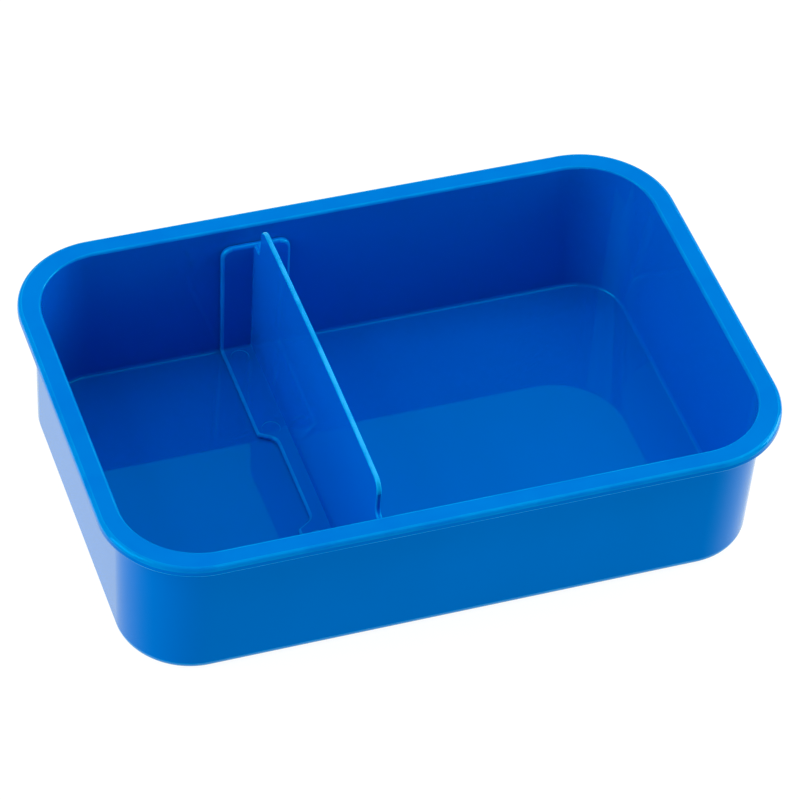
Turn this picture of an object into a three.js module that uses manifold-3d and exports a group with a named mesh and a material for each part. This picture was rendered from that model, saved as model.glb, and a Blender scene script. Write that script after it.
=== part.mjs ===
// Bento lunch box, open: a one-piece tray with a flat flanged rim, and a loose divider that
// stands across it. Millimetres, +Z up, +X along the long side. The origin is at the middle
// of the tray's underside.
import * as THREE from 'three';
import { mergeVertices } from 'three/addons/utils/BufferGeometryUtils.js';
import Module from 'manifold-3d';

// Tray, outside
const TRAY_LENGTH = 180;
const TRAY_WIDTH = 121.4;
const TRAY_HEIGHT = 42.7;
const RIM_CORNER_RADIUS = 24.4;
const BASE_EDGE_RADIUS = 3;
const WALL_INSET_UNDER_RIM = 4.4;
const WALL_INSET_AT_BASE = 5.25;

// Rim: a flat flange with a shallow lip turned down along its outer edge
const RIM_WIDTH = 5.9;
const RIM_THICKNESS = 1.6;
const RIM_OUTER_EDGE_RADIUS = 1.2;
const RIM_INNER_EDGE_RADIUS = 0.8;
const LIP_HEIGHT = 2.6;
const LIP_THICKNESS = 1.2;

// Tray, inside
const FLOOR_THICKNESS = 1.3;
const FLOOR_FILLET_RADIUS = 1.1;
const CAVITY_INSET_AT_FLOOR = 8.65;
const CAVITY_CORNER_AT_RIM = 19.5;
const CAVITY_CORNER_AT_FLOOR = 13.5;

// Divider
const DIVIDER_X = -21.4;
const CLEARANCE = 0.3;
const FOOT_THICKNESS = 1.3;
const END_PLATE_THICKNESS = 1.5;
const END_PLATE_HEIGHT = 36.1;
const END_PLATE_HALF_WIDTH_LOW = 9.4;
const END_PLATE_HALF_WIDTH_HIGH = 9.6;
const END_PLATE_CORNER_RADIUS = 3;
const WAIST_HALF_WIDTH = 5;
const WAIST_HALF_LENGTH = 14.9;
const WAIST_SHOULDER = 2.8;
const PANEL_HEIGHT = 46.1;
const PANEL_HALF_LENGTH = 48.6;
const PANEL_CORNER_RADIUS = 3.5;
const PANEL_SHOULDER_RADIUS = 1.8;
const PANEL_THICKNESS_LOW = 2;
const PANEL_THICKNESS_HIGH = 1.35;
const PANEL_FOOT_CHAMFER = 1;
const PANEL_ROOT_RADIUS = 0.8;
const PANEL_ROOT_OVERLAP = 0.05;
const EDGE_ROUNDING = 0.35;

// Facets
const CORNER_STEPS = 6;
const ARC_STEPS = 4;
const BEVEL_STEPS = 2;
const MERGE_DISTANCE = 1e-5;

const CAVITY_DEPTH = TRAY_HEIGHT - FLOOR_THICKNESS;
const WALL_SLOPE = (CAVITY_INSET_AT_FLOOR - RIM_WIDTH) / CAVITY_DEPTH;

const wasm = await Module();
wasm.setup();

// A closed mesh as a solid for joining and cutting
function toSolid(geometry) {
  const bare = geometry.clone();
  bare.deleteAttribute('normal');
  bare.deleteAttribute('uv');
  const merged = mergeVertices(bare, MERGE_DISTANCE);
  const mesh = new wasm.Mesh({
    numProp: 3,
    vertProperties: new Float32Array(merged.attributes.position.array),
    triVerts: new Uint32Array(merged.index.array),
  });
  return new wasm.Manifold(mesh);
}

function toGeometry(solid) {
  const { vertProperties, triVerts } = solid.getMesh();
  const geometry = new THREE.BufferGeometry();
  geometry.setAttribute('position', new THREE.BufferAttribute(vertProperties, 3));
  geometry.setIndex(new THREE.BufferAttribute(triVerts, 1));
  geometry.computeVertexNormals();
  return geometry;
}

// One level of the tray: a rounded rectangle set in from the rim's outer edge, at height z
function trayRing(inset, z, cornerRadius) {
  const x = TRAY_LENGTH / 2 - inset - cornerRadius;
  const y = TRAY_WIDTH / 2 - inset - cornerRadius;
  const path = new THREE.Path();
  path.absarc(x, y, cornerRadius, 0, Math.PI / 2);
  path.absarc(-x, y, cornerRadius, Math.PI / 2, Math.PI);
  path.absarc(-x, -y, cornerRadius, Math.PI, 1.5 * Math.PI);
  path.absarc(x, -y, cornerRadius, 1.5 * Math.PI, 2 * Math.PI);
  return path.getPoints(CORNER_STEPS).map((p) => new THREE.Vector3(p.x, p.y, z));
}

const outerRing = (inset, z) => trayRing(inset, z, RIM_CORNER_RADIUS - inset);

// The cavity's corners are tighter at the floor than at the rim
function innerRing(inset, z) {
  const beyond = Math.max(inset - CAVITY_INSET_AT_FLOOR, 0);
  const share = (inset - beyond - RIM_WIDTH) / (CAVITY_INSET_AT_FLOOR - RIM_WIDTH);
  const radius = THREE.MathUtils.lerp(CAVITY_CORNER_AT_RIM, CAVITY_CORNER_AT_FLOOR, share) - beyond;
  return trayRing(inset, z, radius);
}

// Rings round a quarter-round edge. The centre is given as inset and height, and the angles
// are in degrees in the section, where 0 points into the tray and 90 points up.
function edgeRings(ring, inset, z, radius, fromDegrees, toDegrees) {
  const rings = [];
  for (let i = 0; i <= ARC_STEPS; i += 1) {
    const angle = THREE.MathUtils.degToRad(THREE.MathUtils.lerp(fromDegrees, toDegrees, i / ARC_STEPS));
    rings.push(ring(inset + radius * Math.cos(angle), z + radius * Math.sin(angle)));
  }
  return rings;
}

// A closed skin over a stack of rings, with a flat face over the first and the last
function loft(rings) {
  const count = rings[0].length;
  const points = rings.flat();
  const firstCentre = points.length;
  points.push(new THREE.Vector3(0, 0, rings[0][0].z));
  const lastCentre = points.length;
  points.push(new THREE.Vector3(0, 0, rings.at(-1)[0].z));
  const faces = [];
  for (let k = 0; k < count; k += 1) {
    const next = (k + 1) % count;
    faces.push(firstCentre, next, k);
    for (let level = 0; level < rings.length - 1; level += 1) {
      const low = level * count;
      const high = low + count;
      faces.push(low + k, low + next, high + next);
      faces.push(low + k, high + next, high + k);
    }
    const last = (rings.length - 1) * count;
    faces.push(lastCentre, last + k, last + next);
  }
  const geometry = new THREE.BufferGeometry().setFromPoints(points);
  geometry.setIndex(faces);
  geometry.computeVertexNormals();
  return geometry;
}

// The tray's section, from the middle of the underside round the rim to the middle of the floor
function trayGeometry() {
  const rimUnderside = TRAY_HEIGHT - RIM_THICKNESS;
  const lipEnd = TRAY_HEIGHT - LIP_HEIGHT;
  const base = BASE_EDGE_RADIUS;
  const outer = RIM_OUTER_EDGE_RADIUS;
  const inner = RIM_INNER_EDGE_RADIUS;
  const fillet = FLOOR_FILLET_RADIUS;
  const rings = [
    ...edgeRings(outerRing, WALL_INSET_AT_BASE + base, base, base, 270, 180),
    outerRing(WALL_INSET_UNDER_RIM, rimUnderside),
    outerRing(LIP_THICKNESS, rimUnderside),
    outerRing(LIP_THICKNESS, lipEnd),
    outerRing(0, lipEnd),
    ...edgeRings(outerRing, outer, TRAY_HEIGHT - outer, outer, 180, 90),
    ...edgeRings(innerRing, RIM_WIDTH - inner, TRAY_HEIGHT - inner, inner, 90, 0),
    ...edgeRings(innerRing, CAVITY_INSET_AT_FLOOR + fillet, FLOOR_THICKNESS + fillet, fillet, 180, 270),
  ];
  return loft(rings);
}

// Half the width between the long walls, at a height above the floor
const wallDistance = (height) => TRAY_WIDTH / 2 - CAVITY_INSET_AT_FLOOR + WALL_SLOPE * height;

// Outlines drawn in the Y-Z plane are extruded along X, about the middle
function extrudeAlongX(shape, thickness, rounding) {
  const geometry = new THREE.ExtrudeGeometry(shape, {
    depth: thickness - 2 * rounding,
    bevelEnabled: rounding > 0,
    bevelSize: rounding,
    bevelOffset: -rounding,
    bevelThickness: rounding,
    bevelSegments: BEVEL_STEPS,
    curveSegments: ARC_STEPS,
  });
  geometry.translate(0, 0, rounding - thickness / 2);
  const turn = new THREE.Matrix4();
  turn.makeBasis(new THREE.Vector3(0, 1, 0), new THREE.Vector3(0, 0, 1), new THREE.Vector3(1, 0, 0));
  return geometry.applyMatrix4(turn);
}

// Outlines drawn in the X-Z plane are extruded along Y, about the middle
function extrudeAlongY(shape, length) {
  const geometry = new THREE.ExtrudeGeometry(shape, {
    depth: length,
    bevelEnabled: false,
    curveSegments: ARC_STEPS,
  });
  geometry.translate(0, 0, -length / 2);
  return geometry.rotateX(Math.PI / 2);
}

// The foot and both end plates before they are trimmed: a channel that follows the trough
function channelGeometry() {
  const outerCorner = FLOOR_FILLET_RADIUS + CLEARANCE;
  const outerFoot = wallDistance(0) - CLEARANCE;
  const innerFoot = outerFoot - END_PLATE_THICKNESS;
  const outerTop = outerFoot + WALL_SLOPE * END_PLATE_HEIGHT;
  const innerTop = outerTop - END_PLATE_THICKNESS;
  const under = CLEARANCE;
  const over = CLEARANCE + FOOT_THICKNESS;
  const innerCorner = PANEL_ROOT_RADIUS;
  const shape = new THREE.Shape();
  shape.moveTo(outerTop, END_PLATE_HEIGHT);
  shape.lineTo(innerTop, END_PLATE_HEIGHT);
  shape.lineTo(innerFoot, over + innerCorner);
  shape.quadraticCurveTo(innerFoot, over, innerFoot - innerCorner, over);
  shape.lineTo(innerCorner - innerFoot, over);
  shape.quadraticCurveTo(-innerFoot, over, -innerFoot, over + innerCorner);
  shape.lineTo(-innerTop, END_PLATE_HEIGHT);
  shape.lineTo(-outerTop, END_PLATE_HEIGHT);
  shape.lineTo(-outerFoot, under + outerCorner);
  shape.quadraticCurveTo(-outerFoot, under, outerCorner - outerFoot, under);
  shape.lineTo(outerFoot - outerCorner, under);
  shape.quadraticCurveTo(outerFoot, under, outerFoot, under + outerCorner);
  return extrudeAlongX(shape, 2 * END_PLATE_HALF_WIDTH_HIGH, EDGE_ROUNDING);
}

// What the end plates look like face on: a little wider upwards, with rounded top corners
function endPlateOutline() {
  const low = END_PLATE_HALF_WIDTH_LOW;
  const high = END_PLATE_HALF_WIDTH_HIGH;
  const shoulder = END_PLATE_HEIGHT - END_PLATE_CORNER_RADIUS;
  const shape = new THREE.Shape();
  shape.moveTo(-low, 0);
  shape.lineTo(low, 0);
  shape.lineTo(high, shoulder);
  shape.absarc(high - END_PLATE_CORNER_RADIUS, shoulder, END_PLATE_CORNER_RADIUS, 0, Math.PI / 2);
  shape.absarc(END_PLATE_CORNER_RADIUS - high, shoulder, END_PLATE_CORNER_RADIUS, Math.PI / 2, Math.PI);
  return extrudeAlongY(shape, TRAY_WIDTH);
}

// The stock removed from one side of the foot, so that it is narrow in the middle
function waistCutter(side) {
  const beyond = 2 * END_PLATE_HALF_WIDTH_HIGH;
  const wideFrom = WAIST_HALF_LENGTH + WAIST_SHOULDER;
  const shape = new THREE.Shape();
  shape.moveTo(side * WAIST_HALF_WIDTH, -WAIST_HALF_LENGTH);
  shape.lineTo(side * END_PLATE_HALF_WIDTH_LOW, -wideFrom);
  shape.lineTo(side * beyond, -wideFrom);
  shape.lineTo(side * beyond, wideFrom);
  shape.lineTo(side * END_PLATE_HALF_WIDTH_LOW, wideFrom);
  shape.lineTo(side * WAIST_HALF_WIDTH, WAIST_HALF_LENGTH);
  return new THREE.ExtrudeGeometry(shape, {
    depth: 2 * (CLEARANCE + FOOT_THICKNESS),
    bevelEnabled: false,
  });
}

// The upright panel: it joins the end plates below and stands clear of the walls above them
function panelGeometry() {
  const middleOfEndPlate = (height) => wallDistance(height) - CLEARANCE - END_PLATE_THICKNESS / 2;
  const low = CLEARANCE + FOOT_THICKNESS / 2;
  const end = PANEL_HALF_LENGTH;
  const root = PANEL_SHOULDER_RADIUS;
  const corner = PANEL_CORNER_RADIUS;
  const chamfer = PANEL_FOOT_CHAMFER;
  const shape = new THREE.Shape();
  shape.moveTo(chamfer - middleOfEndPlate(low), low);
  shape.lineTo(middleOfEndPlate(low) - chamfer, low);
  shape.lineTo(middleOfEndPlate(low), low + chamfer);
  shape.lineTo(middleOfEndPlate(END_PLATE_HEIGHT), END_PLATE_HEIGHT);
  shape.absarc(end + root, END_PLATE_HEIGHT + root, root, 1.5 * Math.PI, Math.PI, true);
  shape.absarc(end - corner, PANEL_HEIGHT - corner, corner, 0, Math.PI / 2);
  shape.absarc(corner - end, PANEL_HEIGHT - corner, corner, Math.PI / 2, Math.PI);
  shape.absarc(-end - root, END_PLATE_HEIGHT + root, root, 0, -Math.PI / 2, true);
  shape.lineTo(-middleOfEndPlate(END_PLATE_HEIGHT), END_PLATE_HEIGHT);
  shape.lineTo(-middleOfEndPlate(low), low + chamfer);
  const geometry = extrudeAlongX(shape, PANEL_THICKNESS_LOW, EDGE_ROUNDING);
  const position = geometry.attributes.position;
  for (let i = 0; i < position.count; i += 1) {
    const rise = position.getZ(i) / PANEL_HEIGHT;
    const taper = THREE.MathUtils.lerp(1, PANEL_THICKNESS_HIGH / PANEL_THICKNESS_LOW, rise);
    position.setX(i, position.getX(i) * taper);
  }
  return geometry;
}

// The concave roots where the panel rises from the foot, as one bar under it
function panelRootGeometry() {
  const low = CLEARANCE + FOOT_THICKNESS / 2;
  const top = CLEARANCE + FOOT_THICKNESS;
  const face = PANEL_THICKNESS_LOW / 2 - PANEL_ROOT_OVERLAP;
  const centre = face + PANEL_ROOT_RADIUS;
  const shape = new THREE.Shape();
  shape.moveTo(-centre, low);
  shape.lineTo(centre, low);
  shape.absarc(centre, top + PANEL_ROOT_RADIUS, PANEL_ROOT_RADIUS, 1.5 * Math.PI, Math.PI, true);
  shape.absarc(-centre, top + PANEL_ROOT_RADIUS, PANEL_ROOT_RADIUS, 0, -Math.PI / 2, true);
  return extrudeAlongY(shape, 2 * (wallDistance(0) - CLEARANCE - END_PLATE_THICKNESS / 2));
}

function dividerGeometry() {
  let solid = toSolid(channelGeometry()).intersect(toSolid(endPlateOutline()));
  solid = solid.subtract(toSolid(waistCutter(-1)));
  solid = solid.subtract(toSolid(waistCutter(1)));
  solid = solid.add(toSolid(panelGeometry()));
  solid = solid.add(toSolid(panelRootGeometry()));
  return toGeometry(solid);
}

const polypropylene = (name) => new THREE.MeshStandardMaterial({
  name,
  color: 0x0061c9,
  roughness: 0.1,
  metalness: 0,
});

const lunchBox = new THREE.Group();

const tray = new THREE.Mesh(trayGeometry(), polypropylene('tray_blue'));
tray.name = 'tray';
lunchBox.add(tray);

const divider = new THREE.Mesh(dividerGeometry(), polypropylene('divider_blue'));
divider.name = 'divider';
divider.position.set(DIVIDER_X, 0, FLOOR_THICKNESS);
lunchBox.add(divider);

export default lunchBox;
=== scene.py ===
import math

import bmesh
import bpy
from mathutils import Matrix, Vector


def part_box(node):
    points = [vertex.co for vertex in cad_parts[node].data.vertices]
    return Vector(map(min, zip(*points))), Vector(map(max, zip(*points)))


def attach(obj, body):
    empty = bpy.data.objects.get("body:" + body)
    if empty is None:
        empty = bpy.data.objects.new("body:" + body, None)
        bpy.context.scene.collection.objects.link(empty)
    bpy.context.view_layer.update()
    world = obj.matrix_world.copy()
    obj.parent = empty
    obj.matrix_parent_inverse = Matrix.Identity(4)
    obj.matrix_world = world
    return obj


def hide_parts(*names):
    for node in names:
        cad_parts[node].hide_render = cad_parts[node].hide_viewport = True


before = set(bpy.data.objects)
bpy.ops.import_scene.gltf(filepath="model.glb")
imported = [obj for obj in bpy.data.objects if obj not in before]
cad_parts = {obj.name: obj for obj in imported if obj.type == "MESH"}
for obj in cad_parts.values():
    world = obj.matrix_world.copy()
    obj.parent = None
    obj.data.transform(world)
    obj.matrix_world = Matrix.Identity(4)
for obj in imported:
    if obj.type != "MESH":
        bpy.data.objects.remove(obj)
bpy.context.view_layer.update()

# Open bento lunch box: a glossy blue polypropylene tray and a loose divider across it.
# Lengths are millimetres and angles are degrees until a mesh, light or camera is made.
MM = 0.001
tray_low, tray_high = (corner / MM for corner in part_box("tray"))
divider_low, divider_high = (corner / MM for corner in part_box("divider"))

# Tray, outside
HALF_LENGTH = tray_high.x
HALF_WIDTH = tray_high.y
RIM_TOP = tray_high.z
RIM_CORNER_RADIUS = 24.4
BASE_EDGE_RADIUS = 3.0
WALL_INSET_UNDER_RIM = 4.4
WALL_INSET_AT_BASE = 5.3
FLAT_INSET = 12.0

# Rim flange and its turned-down lip
RIM_WIDTH = 5.9
RIM_THICKNESS = 1.6
RIM_INNER_EDGE_RADIUS = 0.8
RIM_OUTER_EDGE_RADIUS = 1.2
UNDER_RIM_FILLET = 0.9
LIP_HEIGHT = 2.6
LIP_THICKNESS = 1.2
LIP_ROOT_FILLET = 0.4
LIP_DRAFT = 0.12
LIP_END_RADIUS = 0.45

# Tray, inside
FLOOR_THICKNESS = 1.3
FLOOR_FILLET_RADIUS = 1.1
CAVITY_INSET_AT_FLOOR = 8.65
CAVITY_CORNER_AT_RIM = 19.5
CAVITY_CORNER_AT_FLOOR = 13.5
WALL_SLOPE = (CAVITY_INSET_AT_FLOOR - RIM_WIDTH) / (RIM_TOP - FLOOR_THICKNESS)

# Gate mark in the middle of the underside: a shallow dish with a low stub in it
GATE_RADIUS = 8.0
GATE_DEPTH = 0.25
GATE_EDGE = 0.3
STUB_RADIUS = 1.8
STUB_DEPTH = 0.1

# Divider: a ribbon bent into a channel (foot and two end plates) and an upright panel
DIVIDER_X = (divider_low.x + divider_high.x) / 2
CLEARANCE = 0.3
FOOT_THICKNESS = 1.3
FOOT_TOP = divider_low.z + FOOT_THICKNESS
END_PLATE_THICKNESS = 1.5
END_PLATE_TOP = FLOOR_THICKNESS + 36.1
END_PLATE_HALF_WIDTH = (divider_high.x - divider_low.x) / 2
END_PLATE_CORNER_RADIUS = 3.0
BEND_RADIUS = 0.8
FOOT_HALF_WIDTH = 9.4
WAIST_HALF_WIDTH = 5.0
WAIST_HALF_LENGTH = 14.9
WAIST_SHOULDER = 2.8
WAIST_OUTER_RADIUS = 1.2
WAIST_INNER_RADIUS = 3.0
FOOT_EDGE_RADIUS = 0.7
PLATE_EDGE_RADIUS = 0.9
BACK_EDGE_RADIUS = 0.25
PANEL_TOP = divider_high.z
PANEL_HALF_LENGTH = 48.6
PANEL_CORNER_RADIUS = 3.5
PANEL_SHOULDER_RADIUS = 1.8
PANEL_SHOULDER_DROP = 0.15
PANEL_THICKNESS_LOW = 2.0
PANEL_THICKNESS_HIGH = 1.35
PANEL_EDGE_RADIUS = 0.6
PANEL_FOOT_RADIUS = 0.5
PANEL_SIDE_RADIUS = 0.3
PANEL_BOW = 0.4
PANEL_BOW_POWER = 1.5
PANEL_LEAN = 0.25
ROOT_RADIUS_ON_FOOT = 0.2
ROOT_RADIUS_ON_PLATE = 0.4
ROOT_DEPTH = 0.6
ROOT_OVERLAP = 0.04
ROOT_SHORT_OF_PLATE_END = 0.7 * PLATE_EDGE_RADIUS
EJECTOR_RADIUS = 2.5
EJECTOR_DEPTH = 0.2
EJECTOR_EDGE = 0.12
EJECTOR_X = 5.2
EJECTOR_PLACES = (-47.0, -22.0, 19.0, 47.0)
EJECTOR_POINT_EVERY = 2

# Facets
CORNER_STEPS = 36
EDGE_STEPS = 6
BEND_STEPS = 8
PANEL_CUT_EVERY = 4.0
NORMAL_WEIGHT = 100
TINY = 0.001

# How pale the arrises are painted, as wear and as a painted highlight, on faces narrower than this that
# bend by more than this at a long side
ARRIS_WIDTH = 0.8
ARRIS_BEND = math.radians(11)
ARRIS_LONG_SIDE = 1 / 3
# Painted highlight: arrises above this height, at the top of the panel, are painted palest, and the flat
# of the rim is painted a little paler.
PALE_ABOVE = 43.0
PALE_AT_TOP = 0.72
PALE_LOWER = 0.3
PALE_ON_RIM = 0.08

# Camera, at the photograph's viewing angle
CAMERA_AZIMUTH = -21.85
CAMERA_ELEVATION = 44.69
CAMERA_ROLL = 4.67
CAMERA_DISTANCE = 1092.7
CAMERA_LENS = 189.04
CAMERA_AIM = Vector((2.74, 2.64, RIM_TOP / 2))

# Light. A softbox is at this azimuth and elevation from the tray, and has a width and a radiance.
# The floor glows a little, as a white table on a light box does, so that shadows on it are faint.
FLOOR_RADIUS = 6000.0
FLOOR_SIDES = 64
FLOOR_DROP = 0.05
FLOOR_ROUGHNESS = 0.9
FLOOR_COLOR = (0.1, 0.1, 0.1, 1.0)
FLOOR_GLOW = 0.95
SOFTBOX_DISTANCE = 1100.0
SOFTBOX_COLOR = (0.84, 1.0, 0.98)
SOFTBOXES = {
    "left": (270, 42, 700, 4.5),
    "left_low": (270, 18, 600, 3.7),
    "right": (90, 42, 700, 2.0),
    "right_low": (90, 18, 600, 6.0),
    "right_near_low": (45, 18, 600, 1.5),
    "right_top": (60, 66, 600, 1.9),
    "left_top": (300, 66, 600, 0.6),
    "behind": (158, 45, 1400, 1.08),
}

# Plastic: linear colours, and sizes and heights in millimetres
TRAY_DEEP = (0.0, 0.11, 0.575, 1)
TRAY_PALE = (0.0, 0.122, 0.625, 1)
# The divider is the same plastic as the tray, painted a little lighter as painted light shining through
# its thin panel.
DIVIDER_DEEP = (0.0, 0.115, 0.595, 1)
DIVIDER_PALE = (0.0, 0.1275, 0.648, 1)
# The pale blue of the arrises: wear, and a painted highlight along the edges.
BLUE_WORN_AND_HIGHLIGHT = (0.08, 0.46, 0.95, 1)
GLOSS_TINT = (0.0, 0.7, 1.0, 1)
PLASTIC_IOR = 1.5
ROUGHNESS_LOW = 0.025
ROUGHNESS_HIGH = 0.05
WORN_ROUGHNESS = 0.06
WAVE_HEIGHT = 0.009
PEEL_HEIGHT = 0.0003
SCRATCH_STRETCH = 90.0
SCRATCH_TURNS = (0.3, 1.2, 2.4)
SCRATCH_ROUGHNESS = 0.05
SCRATCH_DEPTH = 0.0003

# Each noise: the size of its spots, its detail, and its shift from the others. A shift and a turn
# are shared out to X, Y and Z, and each piece has a shift too.
FLOW = (60.0, 3, 7)
RUB = (9.0, 4, 5)
WAVE = (22.0, 0, 2)
PEEL = (1.3, 2, 3)
SCRATCH = (1.1, 1, 0)
GRAIN_SHIFT = (1.0, 0.3, 0.7)
GRAIN_TURN = (0.2, 0.1, 1.0)
TRAY_SHIFT = 1.0
DIVIDER_SHIFT = 2.0

# The parts of each noise's range that are used
MIDDLE_OF_NOISE = (0.3, 0.7)
PATCHES_OF_NOISE = (0.35, 0.6)
TOP_OF_NOISE = (0.69, 0.76)
LEAST_WEAR_AND_HIGHLIGHT = 0.6

# The deep blue is outside what a screen shows, so its weak red is cut off, as it is in a photograph,
# and its strong blue is held back a little.
RED, BLUE = 0, 2
RED_CURVE = ((0.03, 0.0), (0.07, 0.03), (0.2, 0.155), (0.4, 0.35))
BLUE_CURVE = ((0.22, 0.208), (0.5, 0.503), (0.72, 0.685), (0.87, 0.81))


def filleted(corners, inset=0.0, closed=True):
    """Points along an outline whose corners are (x, y, radius). The outline runs anticlockwise
    where it is closed, and inset moves it inwards."""
    points = []
    for i, (x, y, radius) in enumerate(corners):
        here = Vector((x, y))
        if not closed and i in (0, len(corners) - 1):
            points.append(here)
            continue
        before = (here - Vector(corners[i - 1][:2])).normalized()
        after = (Vector(corners[(i + 1) % len(corners)][:2]) - here).normalized()
        left = Vector((-before.y, before.x))
        left_after = Vector((-after.y, after.x))
        turn = math.atan2(before.cross(after), before.dot(after))
        side = math.copysign(1, turn)
        size = max(radius - side * inset, TINY)
        corner = here + (left + left_after) * (inset / (1 + left.dot(left_after)))
        centre = corner - before * (size * math.tan(abs(turn) / 2)) + left * (side * size)
        spoke = left * (-side * size)
        for step in range(EDGE_STEPS + 1):
            points.append(centre + Matrix.Rotation(turn * step / EDGE_STEPS, 2) @ spoke)
    return points


def loft(rings):
    """A closed skin over a stack of rings, with a flat face over the first and the last."""
    skin = bmesh.new()
    rows = [[skin.verts.new(point) for point in ring] for ring in rings]
    for low, high in zip(rows, rows[1:]):
        for k in range(len(low)):
            following = (k + 1) % len(low)
            skin.faces.new((low[k], low[following], high[following], high[k]))
    skin.faces.new(rows[0])
    skin.faces.new(rows[-1])
    bmesh.ops.recalc_face_normals(skin, faces=skin.faces)
    return skin


def cut_across(skin, axis, places):
    """Cuts a skin's faces at these places along an axis, so that they can be bent there."""
    for place in places:
        geometry = skin.verts[:] + skin.edges[:] + skin.faces[:]
        bmesh.ops.bisect_plane(skin, geom=geometry, plane_co=axis * place, plane_no=axis)


def spread(low, high, count):
    return [low + (high - low) * i / count for i in range(count + 1)]


def between(share, low, high):
    return low + (high - low) * share


def made(name, skin):
    """A mesh object in metres from a skin in millimetres."""
    bmesh.ops.scale(skin, vec=(MM, MM, MM), verts=skin.verts)
    mesh = bpy.data.meshes.new(name)
    skin.to_mesh(mesh)
    skin.free()
    piece = bpy.data.objects.new(name, mesh)
    bpy.context.scene.collection.objects.link(piece)
    return piece


def combine(piece, others, operation):
    """Joins other closed pieces to this one or cuts them from it, and removes them."""
    for other in others:
        modifier = piece.modifiers.new(operation, "BOOLEAN")
        modifier.operation = operation
        modifier.solver = "EXACT"
        modifier.object = other
    evaluated = piece.evaluated_get(bpy.context.evaluated_depsgraph_get())
    mesh = bpy.data.meshes.new_from_object(evaluated)
    piece.modifiers.clear()
    piece.data = mesh
    for other in others:
        bpy.data.objects.remove(other)


def mark_arrises(piece):
    """Sets the faces' attribute "arris" on the narrow faces of rounded outer edges, which wear and get a
    painted highlight, most at the top of the panel, and a painted highlight a little on the flat of the
    rim."""
    skin = bmesh.new()
    skin.from_mesh(piece.data)
    layer = skin.faces.layers.float.new("arris")
    for face in skin.faces:
        longest = max(edge.calc_length() for edge in face.edges)
        sides = [edge for edge in face.edges if edge.calc_length() > longest * ARRIS_LONG_SIDE]
        width = face.calc_area() / longest
        bend = max(edge.calc_face_angle_signed(0) for edge in sides)
        rounded = len(face.verts) <= 4 and width < ARRIS_WIDTH * MM and bend > ARRIS_BEND
        height = face.calc_center_median().z / MM
        # The panel's top gets the strongest painted highlight, lower arrises less, and the rim's flat a
        # faint painted highlight.
        if rounded:
            face[layer] = PALE_AT_TOP if height > PALE_ABOVE else PALE_LOWER
        else:
            face[layer] = PALE_ON_RIM if abs(height - RIM_TOP) < TINY else 0.0
    skin.to_mesh(piece.data)
    skin.free()


def finish_surface(piece):
    mark_arrises(piece)
    piece.data.shade_smooth()
    modifier = piece.modifiers.new("even_normals", "WEIGHTED_NORMAL")
    modifier.weight = NORMAL_WEIGHT
    modifier.keep_sharp = False


# Tray

def tray_ring(inset, z, corner_radius):
    x = HALF_LENGTH - inset - corner_radius
    y = HALF_WIDTH - inset - corner_radius
    ring = []
    for quarter, (sign_x, sign_y) in enumerate(((1, 1), (-1, 1), (-1, -1), (1, -1))):
        for step in range(CORNER_STEPS + 1):
            angle = (quarter + step / CORNER_STEPS) * math.pi / 2
            across = sign_x * x + corner_radius * math.cos(angle)
            along = sign_y * y + corner_radius * math.sin(angle)
            ring.append(Vector((across, along, z)))
    return ring


def round_ring(radius, z):
    count = 4 * (CORNER_STEPS + 1)
    angles = [(k + 0.5) / count * math.tau for k in range(count)]
    return [Vector((radius * math.cos(a), radius * math.sin(a), z)) for a in angles]


def outer_section():
    """(inset, height) from the underside up the outer wall, round the lip to the top of the rim."""
    under_rim = RIM_TOP - RIM_THICKNESS
    lip_end = RIM_TOP - LIP_HEIGHT
    return filleted([
        (FLAT_INSET, 0, 0),
        (WALL_INSET_AT_BASE, 0, BASE_EDGE_RADIUS),
        (WALL_INSET_UNDER_RIM, under_rim, UNDER_RIM_FILLET),
        (LIP_THICKNESS, under_rim, LIP_ROOT_FILLET),
        (LIP_THICKNESS, lip_end, LIP_END_RADIUS),
        (0, lip_end, LIP_END_RADIUS),
        (LIP_DRAFT, RIM_TOP, RIM_OUTER_EDGE_RADIUS),
        (RIM_WIDTH / 2, RIM_TOP, 0),
    ], closed=False)


def inner_section():
    """(inset, height) from the top of the rim down the inner wall to the floor."""
    return filleted([
        (RIM_WIDTH / 2, RIM_TOP, 0),
        (RIM_WIDTH, RIM_TOP, RIM_INNER_EDGE_RADIUS),
        (CAVITY_INSET_AT_FLOOR, FLOOR_THICKNESS, FLOOR_FILLET_RADIUS),
        (FLAT_INSET, FLOOR_THICKNESS, 0),
    ], closed=False)[1:]


def cavity_corner_radius(inset):
    """The radius of the cavity's corners, which are tighter at the floor than at the rim."""
    if inset > CAVITY_INSET_AT_FLOOR:
        return CAVITY_CORNER_AT_FLOOR - (inset - CAVITY_INSET_AT_FLOOR)
    share = (inset - RIM_WIDTH) / (CAVITY_INSET_AT_FLOOR - RIM_WIDTH)
    return between(share, CAVITY_CORNER_AT_RIM, CAVITY_CORNER_AT_FLOOR)


def tray_shell():
    rings = [
        round_ring(STUB_RADIUS - GATE_EDGE, STUB_DEPTH),
        round_ring(STUB_RADIUS, GATE_DEPTH),
        round_ring(GATE_RADIUS - GATE_EDGE, GATE_DEPTH),
        round_ring(GATE_RADIUS, 0),
    ]
    for inset, z in outer_section():
        rings.append(tray_ring(inset, z, RIM_CORNER_RADIUS - inset))
    for inset, z in inner_section():
        rings.append(tray_ring(inset, z, cavity_corner_radius(inset)))
    return made("tray_shell", loft(rings))


# Divider

def wall_distance(z):
    """Half the width between the long walls at a height."""
    return HALF_WIDTH - CAVITY_INSET_AT_FLOOR + WALL_SLOPE * (z - FLOOR_THICKNESS)


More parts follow.
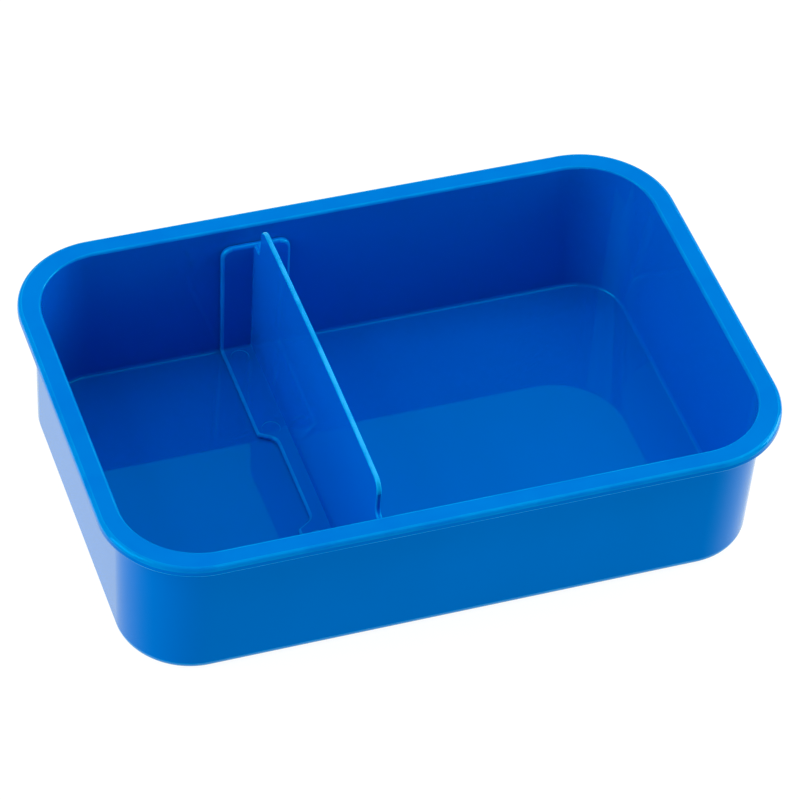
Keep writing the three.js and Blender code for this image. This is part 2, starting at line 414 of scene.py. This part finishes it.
LEAN = math.atan(WALL_SLOPE)
BEND_ANGLE = math.pi / 2 - LEAN
INNER_FACE_AT_FOOT = wall_distance(FOOT_TOP) - CLEARANCE - END_PLATE_THICKNESS
FOOT_REACH = INNER_FACE_AT_FOOT - BEND_RADIUS * math.tan(BEND_ANGLE / 2)
BEND_END = FOOT_REACH + BEND_RADIUS * BEND_ANGLE
BEND_CENTRE = Vector((FOOT_REACH, FOOT_TOP + BEND_RADIUS))
PLATE_START = BEND_CENTRE + BEND_RADIUS * Vector((math.cos(LEAN), -math.sin(LEAN)))
RIBBON_HALF_LENGTH = BEND_END + (END_PLATE_TOP - PLATE_START.y) / math.cos(LEAN)


def on_channel(x, along, off):
    """Where a point of the flat ribbon goes once it is bent into a channel: along is the way from
    the middle of the foot, and off is the height over the channel's inner face."""
    side = math.copysign(1, along)
    way = abs(along)
    if way <= FOOT_REACH:
        place = Vector((way, FOOT_TOP + off))
    elif way < BEND_END:
        angle = (way - FOOT_REACH) / BEND_RADIUS
        place = BEND_CENTRE + (BEND_RADIUS - off) * Vector((math.sin(angle), -math.cos(angle)))
    else:
        up = Vector((math.sin(LEAN), math.cos(LEAN)))
        place = PLATE_START + up * (way - BEND_END) + off * Vector((-up.y, up.x))
    return Vector((DIVIDER_X + x, side * place.x, place.y))


def plate_share(along):
    """0 on the foot and 1 on an end plate."""
    return min(max((abs(along) - FOOT_REACH) / (BEND_END - FOOT_REACH), 0), 1)


def ribbon_outline():
    """The flat ribbon's right half corners and their mirror images, anticlockwise."""
    end = RIBBON_HALF_LENGTH
    shoulder = WAIST_HALF_LENGTH + WAIST_SHOULDER
    right = [
        (END_PLATE_HALF_WIDTH, -end, END_PLATE_CORNER_RADIUS),
        (FOOT_HALF_WIDTH, -shoulder, WAIST_OUTER_RADIUS),
        (WAIST_HALF_WIDTH, -WAIST_HALF_LENGTH, WAIST_INNER_RADIUS),
        (WAIST_HALF_WIDTH, WAIST_HALF_LENGTH, WAIST_INNER_RADIUS),
        (FOOT_HALF_WIDTH, shoulder, WAIST_OUTER_RADIUS),
        (END_PLATE_HALF_WIDTH, end, END_PLATE_CORNER_RADIUS),
    ]
    return right + [(-x, -y, radius) for x, y, radius in right]


def slab_rings(outline, back, front, back_radius, front_radius, reach=1.0):
    """Rings (x, y, depth) round a plate with rounded edges. The depths and edge radii are
    functions of the outline's point."""
    full = filleted(outline)
    inner = filleted(outline, inset=reach)

    def ring(depth, radius, direction, angle):
        points = []
        for edge, inward in zip(full, inner):
            r = radius(edge)
            at = edge.lerp(inward, r * (1 - math.sin(angle)) / reach)
            points.append(Vector((at.x, at.y, depth(edge) + direction * r * (1 - math.cos(angle)))))
        return points

    angles = spread(0, math.pi / 2, EDGE_STEPS)
    rings = [ring(back, back_radius, 1, angle) for angle in angles]
    rings += [ring(front, front_radius, -1, angle) for angle in reversed(angles)]
    return rings


def channel():
    """The foot and both end plates, as one bent ribbon."""
    skin = loft(slab_rings(
        ribbon_outline(),
        back=lambda p: -FOOT_THICKNESS,
        front=lambda p: 0.0,
        back_radius=lambda p: BACK_EDGE_RADIUS,
        front_radius=lambda p: between(plate_share(p.y), FOOT_EDGE_RADIUS, PLATE_EDGE_RADIUS),
    ))
    bend = spread(FOOT_REACH, BEND_END, BEND_STEPS)
    cut_across(skin, Vector((0, 1, 0)), bend + [-place for place in bend])
    for vertex in skin.verts:
        x, along, off = vertex.co
        if off < -FOOT_THICKNESS / 2:
            off -= plate_share(along) * (END_PLATE_THICKNESS - FOOT_THICKNESS)
        vertex.co = on_channel(x, along, off)
    return made("channel", skin)


def panel_outline():
    """The panel's corners in the Y-Z plane: its lower sides run inside the end plates."""
    low = FOOT_TOP - FOOT_THICKNESS / 2
    shoulder = END_PLATE_TOP - PANEL_SHOULDER_DROP
    inside = CLEARANCE + END_PLATE_THICKNESS / 2
    right = [
        (wall_distance(low) - inside, low, PANEL_FOOT_RADIUS),
        (wall_distance(shoulder) - inside, shoulder, PANEL_SIDE_RADIUS),
        (PANEL_HALF_LENGTH, shoulder, PANEL_SHOULDER_RADIUS),
        (PANEL_HALF_LENGTH, PANEL_TOP, PANEL_CORNER_RADIUS),
    ]
    return right + [(-y, z, radius) for y, z, radius in reversed(right)]


def panel_half_thickness(z):
    rise = (z - FLOOR_THICKNESS) / (PANEL_TOP - FLOOR_THICKNESS)
    return between(rise, PANEL_THICKNESS_LOW, PANEL_THICKNESS_HIGH) / 2


def panel_middle(y, z):
    """Where the panel's middle plane is along X. It leans towards +X as it rises, and bows that
    way half-way along, most at its top edge."""
    rise = max((z - FOOT_TOP) / (PANEL_TOP - FOOT_TOP), 0)
    across = max(1 - (y / PANEL_HALF_LENGTH) ** 2, 0)
    return DIVIDER_X + PANEL_LEAN * rise + PANEL_BOW * across * rise ** PANEL_BOW_POWER


def panel():
    skin = loft(slab_rings(
        panel_outline(),
        back=lambda p: -1.0,
        front=lambda p: 1.0,
        back_radius=lambda p: PANEL_EDGE_RADIUS,
        front_radius=lambda p: PANEL_EDGE_RADIUS,
    ))
    reach = PANEL_HALF_LENGTH - PANEL_CORNER_RADIUS
    cut_across(skin, Vector((1, 0, 0)), spread(-reach, reach, round(2 * reach / PANEL_CUT_EVERY)))
    rise = PANEL_TOP - PANEL_CORNER_RADIUS - FOOT_TOP
    cut_across(skin, Vector((0, 1, 0)), spread(FOOT_TOP, FOOT_TOP + rise, round(rise / PANEL_CUT_EVERY)))
    for vertex in skin.verts:
        y, z, side = vertex.co
        vertex.co = Vector((panel_middle(y, z) + side * panel_half_thickness(z), y, z))
    return made("panel", skin)


def roots():
    """A bar along the channel's inner face with a hollow quarter-round on each side of the panel."""
    half = spread(FOOT_REACH, BEND_END, BEND_STEPS) + [RIBBON_HALF_LENGTH - ROOT_SHORT_OF_PLATE_END]
    rings = []
    for along in [-place for place in reversed(half)] + half:
        height = on_channel(0, along, 0).z
        face = panel_half_thickness(height) - ROOT_OVERLAP
        radius = between(plate_share(along), ROOT_RADIUS_ON_FOOT, ROOT_RADIUS_ON_PLATE)
        right = [(face + radius, -ROOT_DEPTH)]
        for angle in spread(0, math.pi / 2, EDGE_STEPS):
            x = face + radius * (1 - math.sin(angle))
            right.append((x, radius * (1 - math.cos(angle))))
        section = right + [(-x, off) for x, off in reversed(right)]
        middle = panel_middle(PANEL_HALF_LENGTH, height) - DIVIDER_X
        rings.append([on_channel(middle + x, along, off) for x, off in section])
    return made("roots", loft(rings))


def ejector_marks():
    """Shallow round dishes that the ejector pins left in the foot."""
    marks = []
    for sign_x in (-1, 1):
        for place in EJECTOR_PLACES:
            centre = Vector((DIVIDER_X + sign_x * EJECTOR_X, place, FOOT_TOP))
            rings = []
            for radius, z in (
                (EJECTOR_RADIUS - EJECTOR_EDGE, -EJECTOR_DEPTH),
                (EJECTOR_RADIUS, 0),
                (EJECTOR_RADIUS + EJECTOR_EDGE, EJECTOR_DEPTH),
            ):
                ring = round_ring(radius, z)[::EJECTOR_POINT_EVERY]
                rings.append([centre + point for point in ring])
            marks.append(made("mark", loft(rings)))
    return marks


def divider():
    piece = channel()
    piece.name = "divider_moulding"
    combine(piece, [panel(), roots()], "UNION")
    combine(piece, ejector_marks(), "DIFFERENCE")
    return piece


# Material

def feed(tree, socket, value):
    """Links a socket to another node's output, or sets its value."""
    if isinstance(value, bpy.types.NodeSocket):
        tree.links.new(value, socket)
    else:
        socket.default_value = value


def calculated(tree, operation, first, second):
    worker = tree.nodes.new("ShaderNodeMath")
    worker.operation = operation
    feed(tree, worker.inputs[0], first)
    feed(tree, worker.inputs[1], second)
    return worker.outputs[0]


def mixed(tree, share, first, second):
    worker = tree.nodes.new("ShaderNodeMixRGB")
    feed(tree, worker.inputs["Fac"], share)
    feed(tree, worker.inputs["Color1"], first)
    feed(tree, worker.inputs["Color2"], second)
    return worker.outputs["Color"]


def rescaled(tree, value, part, new_low=0.0, new_high=1.0):
    """Maps a part of the value's range onto new_low to new_high, and holds it there."""
    worker = tree.nodes.new("ShaderNodeMapRange")
    settings = {
        "Value": value,
        "From Min": part[0],
        "From Max": part[1],
        "To Min": new_low,
        "To Max": new_high,
    }
    for name, setting in settings.items():
        feed(tree, worker.inputs[name], setting)
    return worker.outputs["Result"]


def grain(tree, kind, shift, stretch=1.0, turn=0.0):
    """Noise of one of the kinds above, drawn out along a level direction."""
    size, detail, own_shift = kind
    place = tree.nodes.new("ShaderNodeTexCoord")
    turned = tree.nodes.new("ShaderNodeMapping")
    turned.inputs["Location"].default_value = [share * (shift + own_shift) for share in GRAIN_SHIFT]
    turned.inputs["Rotation"].default_value = [share * turn for share in GRAIN_TURN]
    drawn = tree.nodes.new("ShaderNodeMapping")
    drawn.inputs["Scale"].default_value = (1 / stretch, 1, 1)
    noise = tree.nodes.new("ShaderNodeTexNoise")
    noise.inputs["Scale"].default_value = 1 / (size * MM)
    noise.inputs["Detail"].default_value = detail
    tree.links.new(place.outputs["Object"], turned.inputs["Vector"])
    tree.links.new(turned.outputs["Vector"], drawn.inputs["Vector"])
    tree.links.new(drawn.outputs["Vector"], noise.inputs["Vector"])
    return noise.outputs["Fac"]


def hairlines(tree, shift):
    """1 along fine scratches that run three ways, and 0 between them."""
    lines = 0.0
    for k, turn in enumerate(SCRATCH_TURNS):
        streaks = grain(tree, SCRATCH, shift + k, SCRATCH_STRETCH, turn)
        lines = calculated(tree, "MAXIMUM", lines, rescaled(tree, streaks, TOP_OF_NOISE))
    return lines


def plastic(name, shift, deep, pale):
    """Glossy blue polypropylene: faint flow in its colour, waves and orange peel from the mould,
    hairline scratches, and duller arrises painted paler as wear and as a painted highlight."""
    material = bpy.data.materials.new(name)
    material.use_nodes = True
    tree = material.node_tree
    shader = tree.nodes["Principled BSDF"]
    arris = tree.nodes.new("ShaderNodeAttribute")
    arris.attribute_name = "arris"
    scratches = hairlines(tree, shift)
    rubbed = grain(tree, RUB, shift)
    patchy = rescaled(tree, rubbed, PATCHES_OF_NOISE, LEAST_WEAR_AND_HIGHLIGHT)
    # The arrises' share of wear and painted highlight, patchy.
    worn_and_highlight = calculated(tree, "MULTIPLY", arris.outputs["Fac"], patchy)

    flow = rescaled(tree, grain(tree, FLOW, shift), MIDDLE_OF_NOISE)
    blue = mixed(tree, flow, deep, pale)
    # Arrises painted paler blue: wear and a painted highlight.
    feed(tree, shader.inputs["Base Color"], mixed(tree, worn_and_highlight, blue, BLUE_WORN_AND_HIGHLIGHT))

    rough = rescaled(tree, rubbed, MIDDLE_OF_NOISE, ROUGHNESS_LOW, ROUGHNESS_HIGH)
    rough = calculated(tree, "ADD", rough, calculated(tree, "MULTIPLY", scratches, SCRATCH_ROUGHNESS))
    rough = calculated(tree, "ADD", rough, calculated(tree, "MULTIPLY", worn_and_highlight, WORN_ROUGHNESS))
    feed(tree, shader.inputs["Roughness"], rough)

    height = calculated(tree, "MULTIPLY", grain(tree, WAVE, shift), WAVE_HEIGHT)
    peel = calculated(tree, "MULTIPLY", grain(tree, PEEL, shift), PEEL_HEIGHT)
    height = calculated(tree, "ADD", height, peel)
    cut = calculated(tree, "MULTIPLY", scratches, -SCRATCH_DEPTH)
    height = calculated(tree, "ADD", height, cut)
    bump = tree.nodes.new("ShaderNodeBump")
    bump.inputs["Strength"].default_value = 1.0
    bump.inputs["Distance"].default_value = MM
    feed(tree, bump.inputs["Height"], height)
    tree.links.new(bump.outputs["Normal"], shader.inputs["Normal"])

    shader.inputs["IOR"].default_value = PLASTIC_IOR
    shader.inputs["Specular Tint"].default_value = GLOSS_TINT
    return material


# Scene

def make_floor():
    skin = bmesh.new()
    corners = []
    for k in range(FLOOR_SIDES):
        angle = k / FLOOR_SIDES * math.tau
        place = Vector((math.cos(angle), math.sin(angle), 0)) * FLOOR_RADIUS
        corners.append(skin.verts.new(place - Vector((0, 0, FLOOR_DROP))))
    skin.faces.new(corners)
    floor = made("floor", skin)
    material = bpy.data.materials.new("pale_floor")
    material.use_nodes = True
    shader = material.node_tree.nodes["Principled BSDF"]
    shader.inputs["Base Color"].default_value = FLOOR_COLOR
    shader.inputs["Roughness"].default_value = FLOOR_ROUGHNESS
    shader.inputs["Specular IOR Level"].default_value = 0.0
    shader.inputs["Emission Color"].default_value = (1, 1, 1, 1)
    shader.inputs["Emission Strength"].default_value = FLOOR_GLOW
    floor.data.materials.append(material)


def aimed_from(azimuth, elevation):
    """The direction from the tray to something at this azimuth and elevation."""
    azimuth, elevation = math.radians(azimuth), math.radians(elevation)
    return Vector((
        math.sin(azimuth) * math.cos(elevation),
        -math.cos(azimuth) * math.cos(elevation),
        math.sin(elevation),
    ))


def softbox(name, azimuth, elevation, size, radiance):
    """A square lamp that points at the middle of the tray and doesn't show."""
    data = bpy.data.lights.new(name, "AREA")
    data.shape = "SQUARE"
    data.size = size * MM
    data.energy = math.pi * data.size ** 2 * radiance
    data.color = SOFTBOX_COLOR
    lamp = bpy.data.objects.new(name, data)
    back = aimed_from(azimuth, elevation)
    lamp.location = (Vector((0, 0, RIM_TOP / 2)) + back * SOFTBOX_DISTANCE) * MM
    lamp.rotation_mode = "QUATERNION"
    lamp.rotation_quaternion = (-back).to_track_quat("-Z", "Y")
    lamp.visible_camera = False
    bpy.context.scene.collection.objects.link(lamp)


def make_light():
    world = bpy.data.worlds.new("studio")
    world.use_nodes = True
    world.node_tree.nodes["Background"].inputs["Strength"].default_value = 0.0
    bpy.context.scene.world = world
    for name, place_size_and_radiance in SOFTBOXES.items():
        softbox(name, *place_size_and_radiance)


def set_view():
    view = bpy.context.scene.view_settings
    view.view_transform = "Standard"
    view.use_curve_mapping = True
    curves = view.curve_mapping.curves
    for curve, points in ((curves[RED], RED_CURVE), (curves[BLUE], BLUE_CURVE)):
        for point in points:
            curve.points.new(*point)
    view.curve_mapping.update()


def make_camera():
    back = aimed_from(CAMERA_AZIMUTH, CAMERA_ELEVATION)
    right = Vector((0, 0, 1)).cross(back).normalized()
    up = back.cross(right)
    basis = Matrix((right, up, back)).transposed()
    data = bpy.data.cameras.new("camera")
    data.lens = CAMERA_LENS
    camera = bpy.data.objects.new("camera", data)
    camera.location = (CAMERA_AIM + back * CAMERA_DISTANCE) * MM
    roll = Matrix.Rotation(math.radians(CAMERA_ROLL), 3, "Z")
    camera.rotation_mode = "QUATERNION"
    camera.rotation_quaternion = (basis @ roll).to_quaternion()
    bpy.context.scene.collection.objects.link(camera)
    bpy.context.scene.camera = camera


make_camera()
make_floor()
make_light()
set_view()

tray = tray_shell()
finish_surface(tray)
tray.data.materials.append(plastic("tray_blue", TRAY_SHIFT, TRAY_DEEP, TRAY_PALE))
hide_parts("tray")
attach(tray, "tray")

moulding = divider()
finish_surface(moulding)
moulding.data.materials.append(plastic("divider_blue", DIVIDER_SHIFT, DIVIDER_DEEP, DIVIDER_PALE))
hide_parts("divider")
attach(moulding, "divider")

bpy.context.view_layer.update()
